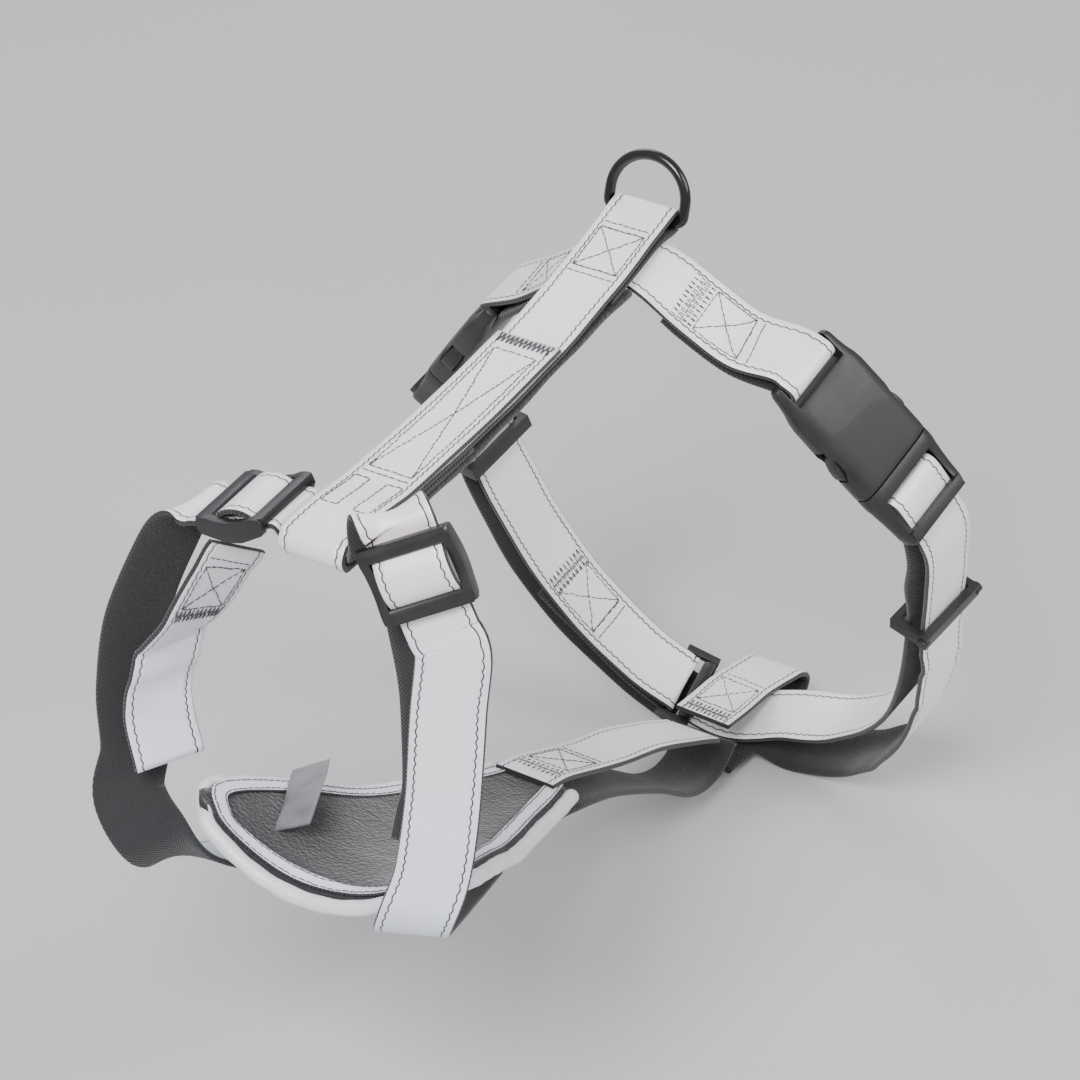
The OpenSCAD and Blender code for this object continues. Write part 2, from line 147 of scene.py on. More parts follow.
def reflective(name, seams=True, shade=1.0):
    """White glass-bead tape: fine beads, faint creases, a scalloped seam near each edge."""
    m = Nodes(name)
    at = m.place()
    u, v = m.uv()
    xyz = m.add("ShaderNodeSeparateXYZ")
    m.put(xyz.inputs[0], at)
    # painted light set by position: a darker, cool painted shade low at the front left, a painted pink light at the
    # neck and a painted warm light behind
    back = m.ramp(xyz.outputs[1], -0.17, 0.0)
    low = m.ramp(xyz.outputs[2], -0.03, -0.12)
    painted_pink_light, painted_cool_shade, painted_warm_light = (0.94, 0.85, 0.91, 1), (0.82, 0.87, 0.98, 1), (0.97, 0.945, 0.915, 1)
    front = m.mix(low, painted_pink_light, painted_cool_shade)
    painted_cast_and_tone = m.mix(back, front, painted_warm_light)
    cloud = m.noise(at, 26.0, 4.0)
    # random grey clouding of the tone, mixed over the painted light casts
    painted_cast_and_tone = m.mix(m.ramp(cloud, 0.35, 0.75, 0.0, 0.22), painted_cast_and_tone, (0.66, 0.63, 0.67, 1))
    beads = m.voronoi(at, 2600.0)
    warp = m.math("SINE", m.math("MULTIPLY", u, 2 * math.pi / 0.0011))
    weft = m.math("SINE", m.math("MULTIPLY", v, 2 * math.pi / 0.0011))
    weave = m.math("MULTIPLY", warp, weft)
    crease = m.noise(at, 140.0, 5.0, 0.6)
    normal = m.bump(crease, 0.0006, 0.35)
    normal = m.bump(weave, 0.00006, 0.5, normal)
    normal = m.bump(beads, 0.00008, 0.35, normal)
    colour = m.mix(m.ramp(beads, 0.0, 0.6, 0.0, 0.10), painted_cast_and_tone, (0.5, 0.5, 0.53, 1))
    rough = m.ramp(crease, 0.3, 0.7, 0.34, 0.5)
    if seams:
        wave = m.math("ABSOLUTE", m.math("SINE", m.math("MULTIPLY", u, math.pi / 0.0033)))
        drift = m.math("MULTIPLY", m.math("SUBTRACT", m.noise(at, 45.0, 1.0), 0.5), 0.0011)
        line = m.math("ADD", m.math("MULTIPLY", wave, 0.00055), m.math("ADD", drift, 0.0095))
        away = m.math("ABSOLUTE", m.math("SUBTRACT", m.math("ABSOLUTE", v), line))
        thread = m.ramp(away, 0.00020, 0.00034, 1.0, 0.0)
        dimple = m.ramp(away, 0.0, 0.0012, 0.0, 1.0)
        normal = m.bump(dimple, 0.00035, 0.9, normal)
        colour = m.mix(thread, colour, (0.045, 0.035, 0.05, 1))
        rim = m.ramp(m.math("ABSOLUTE", v), 0.0121, 0.0125, 0.0, 0.5)
        colour = m.mix(rim, colour, (0.25, 0.24, 0.26, 1))
    return m.end(colour, rough, normal, Metallic=0.12, Sheen_Weight=0.15, Sheen_Roughness=0.4)


def webbing(name):
    """Black woven webbing with crossing yarns."""
    m = Nodes(name)
    u, v = m.uv()
    warp = m.math("SINE", m.math("MULTIPLY", u, 2 * math.pi / 0.0016))
    weft = m.math("SINE", m.math("MULTIPLY", v, 2 * math.pi / 0.0012))
    yarn = m.math("MULTIPLY", warp, weft)
    fuzz = m.noise(m.place(), 900.0, 4.0, 0.7)
    normal = m.bump(yarn, 0.00022, 0.8)
    normal = m.bump(fuzz, 0.0001, 0.4, normal)
    colour = m.mix(m.ramp(yarn, -1.0, 1.0), (0.008, 0.008, 0.010, 1), (0.022, 0.022, 0.025, 1))
    colour = m.mix(m.ramp(fuzz, 0.45, 0.8, 0.0, 0.3), colour, (0.045, 0.045, 0.05, 1))
    return m.end(colour, m.ramp(fuzz, 0.2, 0.8, 0.72, 0.9), normal, Sheen_Weight=0.25, Sheen_Roughness=0.5)


def knit(name):
    """Soft black mesh lining with small round openings."""
    m = Nodes(name)
    at = m.place()
    cells = m.voronoi(at, 620.0)
    cloud = m.noise(at, 30.0, 3.0)
    fine = m.noise(at, 1500.0, 2.0)
    normal = m.bump(m.noise(at, 60.0, 3.0), 0.0012, 0.35)
    normal = m.bump(cells, 0.0005, 0.7, normal)
    normal = m.bump(fine, 0.0001, 0.4, normal)
    colour = m.mix(m.ramp(cells, 0.1, 0.6), (0.006, 0.006, 0.008, 1), (0.024, 0.024, 0.027, 1))
    colour = m.mix(m.ramp(cloud, 0.4, 0.7, 0.0, 0.3), colour, (0.035, 0.035, 0.038, 1))
    return m.end(colour, 0.86, normal, Sheen_Weight=0.35, Sheen_Roughness=0.45)


def plastic(name):
    """Moulded black plastic with a fine matt grain and handling wear."""
    m = Nodes(name)
    at = m.place()
    grain = m.noise(at, 2400.0, 3.0, 0.6)
    wear = m.noise(at, 70.0, 5.0, 0.65)
    normal = m.bump(grain, 0.00007, 0.5)
    colour = m.mix(m.ramp(wear, 0.45, 0.75, 0.0, 0.5), (0.009, 0.009, 0.010, 1), (0.022, 0.022, 0.024, 1))
    return m.end(colour, m.ramp(wear, 0.3, 0.75, 0.36, 0.54), normal, Coat_Weight=0.08)


def ring_metal(name):
    """Black painted steel with soft gloss and fine scuffs."""
    m = Nodes(name)
    at = m.place()
    scuff = m.noise(at, 160.0, 6.0, 0.7)
    fine = m.noise(at, 1800.0, 2.0)
    normal = m.bump(fine, 0.00004, 0.3)
    colour = m.mix(m.ramp(scuff, 0.58, 0.8, 0.0, 0.6), (0.012, 0.012, 0.013, 1), (0.05, 0.05, 0.053, 1))
    return m.end(colour, m.ramp(scuff, 0.35, 0.75, 0.16, 0.34), normal, Metallic=0.55, Coat_Weight=0.5, Coat_Roughness=0.12)


def sewing(name, colour):
    """Twisted sewing thread."""
    m = Nodes(name)
    at = m.place()
    twist = m.noise(at, 3500.0, 2.0)
    light = tuple(min(1.0, c * 2.2 + 0.02) for c in colour[:3]) + (1,)
    tone = m.mix(m.ramp(twist, 0.35, 0.7, 0.0, 0.6), colour, light)
    return m.end(tone, 0.62, m.bump(twist, 0.00006, 0.5), Sheen_Weight=0.2)


def piping_cloth(name):
    """Greyish reflective cloth pulled round a cord, with small gathers and painted shade along them."""
    m = Nodes(name)
    at = m.place()
    gather = m.noise(at, 330.0, 4.0, 0.65)
    broad = m.noise(at, 45.0, 3.0)
    beads = m.voronoi(at, 2600.0)
    normal = m.bump(gather, 0.0007, 0.55)
    normal = m.bump(beads, 0.00008, 0.35, normal)
    colour = m.mix(m.ramp(broad, 0.3, 0.7), (0.74, 0.71, 0.76, 1), (0.84, 0.80, 0.84, 1))
    # painted shade: the cloth is darkened towards grey along the gathers
    colour = m.mix(m.ramp(gather, 0.5, 0.8, 0.0, 0.3), colour, (0.45, 0.43, 0.47, 1))
    return m.end(colour, m.ramp(gather, 0.3, 0.7, 0.38, 0.55), normal, Metallic=0.1, Sheen_Weight=0.15)


def satin_tape(name):
    """Grey satin label tape with fine cross ribs and no marks."""
    m = Nodes(name)
    u, v = m.uv()
    rib = m.math("SINE", m.math("MULTIPLY", u, 2 * math.pi / 0.0006))
    cloud = m.noise(m.place(), 120.0, 3.0)
    colour = m.mix(m.ramp(cloud, 0.3, 0.7), (0.11, 0.11, 0.125, 1), (0.19, 0.19, 0.21, 1))
    normal = m.bump(cloud, 0.0008, 0.4, m.bump(rib, 0.00005, 0.5))
    return m.end(colour, 0.4, normal, Sheen_Weight=0.2)


TAPE = reflective("reflective_tape")
TAPE_PLAIN = reflective("reflective_tape_plain", seams=False)
BLACK = webbing("black_webbing")
KNIT = knit("mesh_lining")
PLASTIC = plastic("moulded_plastic")
METAL = ring_metal("painted_ring")
DARK_THREAD = sewing("dark_thread", (0.03, 0.024, 0.034, 1))
PALE_THREAD = sewing("pale_thread", (0.55, 0.53, 0.56, 1))
PIPING = piping_cloth("piping_cloth")
LABEL = satin_tape("label_tape")


# ---- meshes ---------------------------------------------------------------------------------
def mesh_object(name, points, faces, materials, index=None, uvs=None, smooth=True):
    data = bpy.data.meshes.new(name)
    data.from_pydata([tuple(float(c) * MM for c in p) for p in points], [], faces)
    for m in materials:
        data.materials.append(m)
    if index is not None:
        data.polygons.foreach_set("material_index", index)
    data.polygons.foreach_set("use_smooth", [smooth] * len(data.polygons))
    if uvs is not None:
        layer = data.uv_layers.new(name="strap")
        for loop in data.loops:
            layer.data[loop.index].uv = uvs[loop.vertex_index]
    data.update()
    obj = bpy.data.objects.new(name, data)
    bpy.context.scene.collection.objects.link(obj)
    return obj


def fix_normals(obj):
    b = bmesh.new()
    b.from_mesh(obj.data)
    bmesh.ops.recalc_face_normals(b, faces=b.faces)
    b.to_mesh(obj.data)
    b.free()
    return obj


def finish_piece(obj, body="harness", nodes=()):
    if body:
        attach(obj, body)
    if nodes:
        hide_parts(*nodes)
    return obj


def unit(v):
    v = np.asarray(v, float)
    return v / np.linalg.norm(v)


class Band:
    """A flat band of webbing along a spline of [x, y, z, ax, ay, az] points, in millimetres."""

    def __init__(self, route, n=10):
        p = np.array(route, float)
        first, last = 2 * p[0] - p[1], 2 * p[-1] - p[-2]
        q = np.vstack([first, p, last])
        rows = []
        for i in range(1, len(p)):
            a, b, c, d = q[i - 1], q[i], q[i + 1], q[i + 2]
            for j in range(n):
                t = j / n
                rows.append(0.5 * (2 * b + (c - a) * t + (2 * a - 5 * b + 4 * c - d) * t * t
                                   + (3 * b - a - 3 * c + d) * t ** 3))
        rows.append(p[-1])
        s = np.array(rows)
        self.place, across = s[:, :3], s[:, 3:]
        step = np.empty_like(self.place)
        step[1:-1] = self.place[2:] - self.place[:-2]
        step[0], step[-1] = self.place[1] - self.place[0], self.place[-1] - self.place[-2]
        self.way = step / np.linalg.norm(step, axis=1)[:, None]
        side = across - self.way * np.sum(self.way * across, axis=1)[:, None]
        self.side = side / np.linalg.norm(side, axis=1)[:, None]
        self.up = np.cross(self.way, self.side)
        self.run = np.concatenate([[0], np.cumsum(np.linalg.norm(np.diff(self.place, axis=0), axis=1))])
        self.waves = []

    def wrinkle(self, at, reach, height, slant=0.0):
        """A crease across the band at arc length at: height mm high and reach mm long."""
        self.waves.append((at, reach, height, slant))
        return self

    def rise(self, s, v):
        total = 0.0
        for at, reach, height, slant in self.waves:
            total = total + height * np.exp(-((s - at + slant * v) / reach) ** 2)
        return total

    def near(self, *point):
        """Arc length of the place on the band nearest to a point."""
        return float(self.run[np.argmin(np.linalg.norm(self.place - np.array(point, float), axis=1))])

    def point(self, s, v, lift):
        """The place s mm along, v mm across and lift mm above the band's middle plane."""
        s = min(max(s, 0.0), float(self.run[-1]))
        mix = [np.array([np.interp(s, self.run, a[:, k]) for k in range(3)])
               for a in (self.place, self.side, self.up)]
        return mix[0] + unit(mix[1]) * v + unit(mix[2]) * (lift + self.rise(s, v))


def strap(name, band, white=1, w=25.0, t=2.0, body="harness", nodes=(), face=None, back=None,
          soft=0.12, pinch=None):
    """Webbing with rounded edges. white is the side of the band with the tape: 1, -1 or 2 for both."""
    face, back = face or TAPE, back or BLACK
    half, r = w / 2, t / 2
    across = np.linspace(-1, 1, 9)
    upper = [(u * (half - 0.35 * r), r) for u in across]
    lower = [(u * (half - 0.35 * r), -r) for u in across[::-1]]
    right = [(half, 0.55 * r), (half + 0.15, 0), (half, -0.55 * r)]
    left = [(-half, -0.55 * r), (-half - 0.15, 0), (-half, 0.55 * r)]
    ring = upper + right + lower + left
    k, m = len(band.run), len(ring)
    phase = rng.uniform(0, 6.28, 4)
    points, uvs = [], []
    for i in range(k):
        s = band.run[i]
        easing = min(1.0, s / 12, (band.run[-1] - s) / 12)
        drift = easing * soft * (math.sin(s / 11 + phase[0]) + 0.6 * math.sin(s / 5.3 + phase[1]))
        edge = soft * (math.sin(s / 6.1 + phase[2]) * 0.8)
        for c, h in ring:
            lift = band.rise(s, c) + drift * (0.5 + 0.5 * (c / half) ** 2 * math.cos(phase[3] + c / 9))
            points.append(band.place[i] + band.side[i] * (c + edge * c / half) + band.up[i] * (h + lift))
            uvs.append((s * MM, c * MM))
    faces, index = [], []
    for i in range(k - 1):
        for j in range(m):
            faces.append((i * m + j, (i + 1) * m + j, (i + 1) * m + (j + 1) % m, i * m + (j + 1) % m))
            tape = (j < 8 and white in (1, 2)) or (12 <= j < 20 and white in (-1, 2))
            index.append(0 if tape else 1)
    faces.append(tuple(range(m)))
    faces.append(tuple((k - 1) * m + j for j in range(m - 1, -1, -1)))
    index += [1, 1]
    obj = fix_normals(mesh_object(name, points, faces, [face, back], index, uvs))
    obj.data.polygons[-1].use_smooth = False
    obj.data.polygons[-2].use_smooth = False
    return finish_piece(obj, body, nodes)


def tube(points, r, sides=6):
    """Vertices and faces of a tube through points, in millimetres."""
    p = np.array(points, float)
    d = np.gradient(p, axis=0)
    d /= np.linalg.norm(d, axis=1)[:, None]
    ref = np.array([0.31, 0.17, 0.93]) if abs(d[0][2]) < 0.8 else np.array([0.9, 0.3, 0.1])
    out, faces = [], []
    for i in range(len(p)):
        a = unit(np.cross(d[i], ref))
        b = np.cross(d[i], a)
        rr = r[i] if hasattr(r, "__len__") else r
        out += [p[i] + rr * (a * math.cos(q) + b * math.sin(q)) for q in np.arange(sides) * 2 * math.pi / sides]
    for i in range(len(p) - 1):
        for j in range(sides):
            faces.append((i * sides + j, i * sides + (j + 1) % sides,
                          (i + 1) * sides + (j + 1) % sides, (i + 1) * sides + j))
    faces.append(tuple(range(sides - 1, -1, -1)))
    faces.append(tuple((len(p) - 1) * sides + j for j in range(sides)))
    return out, faces


def stitches(name, band, lines, white=1, lift=1.0, r=0.2, pitch=2.6, material=None, body="harness"):
    """Sewn lines on a band: each is a list of (s, v) corners, worked as separate short stitches."""
    points, faces = [], []
    for line in lines:
        for (s0, v0), (s1, v1) in zip(line, line[1:]):
            length = math.hypot(s1 - s0, v1 - v0)
            count = max(1, round(length / pitch))
            for i in range(count):
                a, b = (i + 0.04) / count, (i + 0.96) / count
                path = []
                wob = rng.normal(0, 0.1, 2)
                for q, h in ((0, -0.12), (0.3, 0.16), (0.7, 0.16), (1, -0.12)):
                    f = a + (b - a) * q
                    path.append(band.point(s0 + (s1 - s0) * f + wob[0], v0 + (v1 - v0) * f + wob[1],
                                           white * (lift + h)))
                v, f = tube(path, r, 5)
                faces += [tuple(len(points) + c for c in g) for g in f]
                points += v
    obj = mesh_object(name, points, faces, [material or DARK_THREAD])
    return finish_piece(fix_normals(obj), body)


def box_x(s0, s1, half=8.6):
    return [[(s0, -half), (s1, -half), (s1, half), (s0, half), (s0, -half)], [(s0, -half), (s1, half)],
            [(s0, half), (s1, -half)]]


def pair(s, half=9.0, apart=2.6):
    return [[(s, -half), (s, half)], [(s + apart, -half), (s + apart, half)]]


def zigzag(s, reach, half=9.4, count=9):
    rows = [(s + (reach / 2 if i % 2 else -reach / 2), -half + 2 * half * i / (2 * count)) for i in range(2 * count + 1)]
    return [rows, [(s, -half), (s, half)]]


# ---- hardware -------------------------------------------------------------------------------
def basis(place, along, across):
    y = unit(along)
    x = np.asarray(across, float)
    x = unit(x - y * (x @ y))
    z = np.cross(x, y)
    return np.array([x, y, z]), np.asarray(place, float)


def placed(points, where):
    m, o = where
    return [o + np.asarray(p, float) @ m for p in points]


def superellipse(a, b, n=32, power=4.0):
    out = []
    for i in range(n):
        q = 2 * math.pi * i / n
        c, s = math.cos(q), math.sin(q)
        out.append((a * math.copysign(abs(c) ** (2 / power), c), b * math.copysign(abs(s) ** (2 / power), s)))
    return out


def loft(stations, n=32, power=4.0):
    """A closed solid along Y: each station is (y, half width, half thickness[, z])."""
    points, faces = [], []
    for st in stations:
        y, a, b = st[:3]
        z = st[3] if len(st) > 3 else 0.0
        points += [(x, y, zz + z) for x, zz in superellipse(a, b, n, power)]
    k = len(stations)
    for i in range(k - 1):
        for j in range(n):
            faces.append((i * n + j, i * n + (j + 1) % n, (i + 1) * n + (j + 1) % n, (i + 1) * n + j))
    faces.append(tuple(range(n - 1, -1, -1)))
    faces.append(tuple((k - 1) * n + j for j in range(n)))
    return points, faces


def block(x, y, z, at=(0, 0, 0)):
    points = [(at[0] + x / 2 * i, at[1] + y / 2 * j, at[2] + z / 2 * k)
              for i in (-1, 1) for j in (-1, 1) for k in (-1, 1)]
    return points, [(0, 1, 3, 2), (4, 6, 7, 5), (0, 4, 5, 1), (2, 3, 7, 6), (0, 2, 6, 4), (1, 5, 7, 3)]


def prism(outline, z0, z1):
    n = len(outline)
    points = [(x, y, z0) for x, y in outline] + [(x, y, z1) for x, y in outline]
    faces = [tuple(range(n - 1, -1, -1)), tuple(range(n, 2 * n))]
    faces += [(i, (i + 1) % n, n + (i + 1) % n, n + i) for i in range(n)]
    return points, faces


def rod(p, q, r, sides=20):
    return tube([np.array(p, float), (np.array(p, float) + np.array(q, float)) / 2, np.array(q, float)], r, sides)


def temp(shape, material=None):
    obj = mesh_object("cutter", shape[0], shape[1], [material or PLASTIC])
    return fix_normals(obj)


def carve(name, base, steps=(), where=None, body="harness", nodes=(),
          bevel=0.45, material=None):
    """Joins ("add") and cuts ("cut") solids in local millimetres, bevels the result and puts it in place."""
    obj = temp(base, material)
    obj.name = obj.data.name = name
    for kind, shape in steps:
        tool = temp(shape, material)
        mod = obj.modifiers.new("join", "BOOLEAN")
        mod.operation, mod.object, mod.solver = "UNION" if kind == "add" else "DIFFERENCE", tool, "EXACT"
        bake(obj)
        bpy.data.objects.remove(tool)
    if bevel:
        mod = obj.modifiers.new("bevel", "BEVEL")
        mod.width, mod.segments, mod.limit_method = bevel * MM, 3, "ANGLE"
        mod.angle_limit = math.radians(32)
        bake(obj)
    m, o = where if where else (np.eye(3), np.zeros(3))
    co = np.empty(len(obj.data.vertices) * 3)
    obj.data.vertices.foreach_get("co", co)
    co = co.reshape(-1, 3) @ m + o * MM
    obj.data.vertices.foreach_set("co", co.ravel())
    fix_normals(obj)
    sharpen(obj, 40)
    return finish_piece(obj, body, nodes)


def bake(obj):
    """Replaces the mesh by its modified form."""
    bpy.context.view_layer.update()
    deps = bpy.context.evaluated_depsgraph_get()
    new = bpy.data.meshes.new_from_object(obj.evaluated_get(deps), depsgraph=deps)
    old = obj.data
    obj.modifiers.clear()
    obj.data = new
    new.name = old.name if not old.name.startswith("cutter") else obj.name
    bpy.data.meshes.remove(old)


def sharpen(obj, degrees):
    """Smooth shading that keeps edges sharper than an angle."""
    data = obj.data
    b = bmesh.new()
    b.from_mesh(data)
    for f in b.faces:
        f.smooth = True
    for e in b.edges:
        e.smooth = not (len(e.link_faces) == 2 and e.calc_face_angle(0) > math.radians(degrees))
    b.to_mesh(data)
    b.free()


# ---- places, as in the CAD -------------------------------------------------------------------
GIRTH = np.array([0.22, 0.9, 0.37])
NEAR = (0.93, 0.38, 0)
FAR = (0.5, 0.85, 0.15)
mouth_left, draw_left = np.array([98.0, 6, -77]), unit([0.6, 0.25, -0.76])
mouth_right, draw_right = np.array([-80.0, 8, -86]), unit([-0.55, 0.25, -0.8])
out_left, out_right = unit(np.cross(-GIRTH, draw_left)), unit(np.cross(GIRTH, draw_right))
slider_left, down_left, across_left = np.array([37.0, -216, -10]), unit([12, -1, -24]), np.array([0.9, 0.4, 0.3])
slider_right, down_right = np.array([-30.0, -207, -13]), unit([-0.96, 0, -0.29])
across_right = np.array([0.3, 0.9, 0.1])
keeper_left, keeper_down_left = np.array([111.0, 32, -154]), unit([-9, 22, -66])
keeper_right, keeper_down_right = np.array([-87.6, 28.5, -140]), unit([4, 8, -24])
belly_ring_at, belly_way = np.array([-12.0, 65, -257]), unit([0.95, 0.15, -0.3])
belly_up = unit(np.cross(belly_way, GIRTH))
WRAP = 3.6
RING_WRAP = 3.1


def on(points, across):
    return [list(p) + list(across) for p in points]


def there(o, y, z, b, c):
    return o + y * b + z * c


def square_to(a, y):
    """The part of a direction that is square to the way y."""
    a = np.array(a, float)
    return unit(a - y * (a @ y))


def turn(o, y, z, r, across, start=-90, stop=90, step=45, lean=0):
    """A part turn round a bar at o, on the side that y points to; lean turns the whole arc."""
    out = []
    d = start
    while (d <= stop) if step > 0 else (d >= stop):
        q = math.radians(d + lean)
        out.append(list(o + y * r * math.cos(q) + z * r * math.sin(q)) + list(square_to(across, y)))
        d += step
    return out


X = (1, 0, 0)
back = Band(on([[0, -46, -8.9], [0, -30, -6], [0, -12, -3.2]], X)
            + turn(np.zeros(3), np.array([0, 1.0, 0]), np.array([0, 0, 1.0]), WRAP, X)
            + on([[0, -14, 0.6], [0, -40, -5], [0, -82, -11], [0, -130, -13], [0, -176, -12.5], [0, -186, -12.5]], X))
front = Band(on([[0, -82, -8.6], [0, -130, -10.6], [0, -176, -10.1], [0, -188, -9.2], [0, -200, -7.7]], X)
             + turn(np.array([0, -216.5, -12]), np.array([0, -1.0, 0]), np.array([0, 0, 1.0]), 4.5, X, 90, -90, -45)
             + on([[0, -200, -16.5], [0, -188, -15.5], [0, -176, -14.9], [0, -140, -15.4]], X))
lining = Band(on([[0, -32, -12.2], [0, -54, -12.5], [0, -82, -14.2],
                  [0, -120, -17], [0, -140, -18.2], [0, -176, -17.9]], X))
neck = Band(
    on([[14, -150, -188], [27, -188, -168], [38, -218, -151], [44, -236, -141], [49, -240, -129],
        [52, -235, -114], [52, -228, -90], [50, -220, -58]], NEAR)
    + on([there(slider_left, down_left, 0, d, 0) for d in (30, 22, 13, 0, -13, -18)], across_left)
    + [[24, -213, 6, 0.85, 0.45, 0.3], [20, -210.5, -4.5, 0.5, 0.8, 0.3], [13, -206.3, -12.1, 0.05, 0.99, 0],
       [0, -206, -12.1, 0.02, 0.99, 0], [-11, -206.8, -12.3, 0.02, 0.99, 0]]
    + on([there(slider_right, down_right, np.array([0, 0, 1]), d, -0.25) for d in (-15, -9.5)], (0, 1, 0))
    + on([there(slider_right, down_right, 0, d, 0) for d in (0, 14, 20, 28)], across_right)
    + on([[-63, -211, -34], [-72, -218, -62], [-74, -223, -90], [-70, -228, -112]], FAR)
    + [[-68, -236, -128, 0.6, 0.75, 0.1], [-55, -237, -143, 0.75, 0.5, 0.1], [-44, -222, -154, 0.88, 0.1, 0],
       [-30, -188, -168, 0.93, -0.35, 0], [-14, -150, -188, 0.93, -0.36, 0]])
shoulder_left = Band(on([[29, -208, -14], [35, -210, -32], [42, -214, -58], [45, -218, -90], [44, -221, -104],
                         [43, -223, -114]], (0.93, 0.38, 0.1)))
shoulder_right = Band(on([[-35, -212, -27.5], [-39, -216, -36], [-47, -220, -53], [-57, -222, -70],
                          [-62, -225, -92], [-56, -228, -114]], FAR))
top = Band(
    on([[-19, -13.8, -18.8], [-26, -11.8, -25.2], [-37, -8.3, -36.8]], GIRTH)
    + turn(there(mouth_right, draw_right, out_right, -49, 0), draw_right, out_right, WRAP, GIRTH, lean=23)
    + on([[-38.5, -9.6, -33], [-25, -13.2, -22.2]], GIRTH)
    + [[-13, -17, -11.5, 0.1, 0.95, 0.25], [0, -18, -7.7, 0, 0.98, 0.18], [14, -17, -10.5, 0.1, 0.95, 0.25]]
    + on([[30, -12.5, -23], [46, -9.3, -33], [62.6, -7.4, -34.9]], GIRTH)
    + turn(there(mouth_left, draw_left, out_left, -49, 0), draw_left, out_left, WRAP, GIRTH, 90, -90, -45, 41)
    + on([[61.1, -4.1, -41.1], [45, -7.8, -36.8], [29.5, -11.4, -26.2], [22, -13.4, -19.8]], GIRTH))


def girth_web(o, y, z, up_leg, inner_leg, outer_leg, down_leg):
    """One webbing: up the inner run, round the plug's inner bar, over its outer bar and down the outer run."""
    return Band(
        up_leg + on(inner_leg, GIRTH) + [list(there(o, y, z, 21, -WRAP - 0.4)) + list(square_to(GIRTH, y))]
        + turn(there(o, y, z, 12, 0), -y, z, WRAP, GIRTH)
        + on([there(o, y, z, 18, 2.4), there(o, y, z, 24, 0.5)], square_to(GIRTH, y))
        + on(outer_leg, GIRTH) + on(down_leg, GIRTH))


left_web = girth_web(
    mouth_left, draw_left, out_left,
    turn(there(belly_ring_at, belly_way, belly_up, 5.5, 0), -belly_way, belly_up, RING_WRAP, GIRTH, 90, -90, -45, -15)
    + on([[12, 65, -262], [33, 69, -257], [58, 69, -249], [82, 59, -226], [96, 46, -196], [104.7, 33.1, -152.8]],
         GIRTH),
    [[107, 23.9, -130.7], [109.5, 19, -115]], [[117, 17.5, -110], [115, 24.1, -130.3]],
    [keeper_left, [105, 45, -195], [93, 55, -230], [68, 69, -262], [40, 72, -272.5], [24, 69, -267], [8, 66, -264.5]])
right_web = girth_web(
    mouth_right, draw_right, out_right,
    on([[-63, 47.5, -207], [-51.7, 54, -223.2], [-30, 61.5, -247.5]], GIRTH)
    + turn(there(belly_ring_at, belly_way, belly_up, -5.5, 0), belly_way, belly_up, RING_WRAP, GIRTH, lean=-30)
    + on([[-30, 60, -243.5], [-51, 53, -220], [-66, 45, -193], [-75.9, 32.6, -157.6], [-79.5, 26.5, -139.5]], GIRTH),
    [[-81.2, 24.4, -130.9], [-86, 20, -116]], [[-94, 19, -116], [-89.1, 25.9, -132.6]],
    [keeper_right, [-85, 34, -158], [-74, 46, -197], [-57, 55, -227], [-34, 63, -252], [-14, 67, -266]])
sternum = Band(on([[0, -86, -195.6], [0.5, -76, -198.6], [1, -66, -203], [3, -40, -215], [5, -12, -226],
                   [7, 15, -240], [8, 32, -250]], X))
sternum_low = Band(on([[1, -120, -198], [2, -90, -208], [4, -50, -223], [6, -15, -244], [8, 10, -262],
                       [9, 28, -266], [9, 44, -259]], X))
flap = Band(on([[7, 42, -250], [8, 56, -251.5], [9, 72, -253], [11, 88, -255.5], [12, 97, -258],
                [12, 102, -264], [12, 96, -270], [11, 80, -273.5], [9, 60, -274], [8, 42, -272]], X))


# ---- webbing pieces -------------------------------------------------------------------------
left_web.wrinkle(left_web.near(109, 38, -170), 3.2, 0.9, 0.5).wrinkle(left_web.near(107, 42, -183), 4.0, 1.0, -0.4)
left_web.wrinkle(left_web.near(103, 47, -200), 3.5, 0.8, 0.3).wrinkle(left_web.near(78, 61, -250), 6.0, 1.0, 0.2)
shoulder_right.wrinkle(shoulder_right.near(-56, -222, -69), 2.8, -1.4, 0.45)
shoulder_right.wrinkle(shoulder_right.near(-60, -223, -78), 3.6, 1.0, 0.3)
shoulder_right.wrinkle(shoulder_right.near(-62, -225, -94), 5.0, 0.7, -0.3)
neck.wrinkle(neck.near(54, -225, -90), 9.0, 0.5, 0.2)

strap("back_webbing", back, nodes=["back_strap"])
strap("front_fold", front, nodes=["front_loop"], soft=0.08)
strap("back_padding", lining, t=3.0, white=0, back=KNIT, nodes=["back_lining"], soft=0.3)
strap("neck_webbing", neck, white=-1, nodes=["neck_strap"], soft=0.06)
strap("shoulder_web_left", shoulder_left, white=-1, nodes=["shoulder_inner_left"])
strap("shoulder_web_right", shoulder_right, white=1, nodes=["shoulder_inner_right"])
strap("girth_top_webbing", top, nodes=["girth_top_strap"])
strap("sternum_webbing", sternum, white=-1, nodes=["sternum_strap"])
strap("sternum_lower_webbing", sternum_low, white=1, nodes=["sternum_strap_lower"])
strap("belly_fold", flap, white=-1, nodes=["belly_flap"])
girth_left = strap("girth_webbing_left", left_web, white=1, body=None,
                   nodes=["girth_inner_left", "girth_outer_left", "girth_turn_left"])
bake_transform(girth_left)
girth_right = strap("girth_webbing_right", right_web, white=-1, body=None,
                    nodes=["girth_inner_right", "girth_outer_right", "girth_turn_right"])
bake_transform(girth_right)

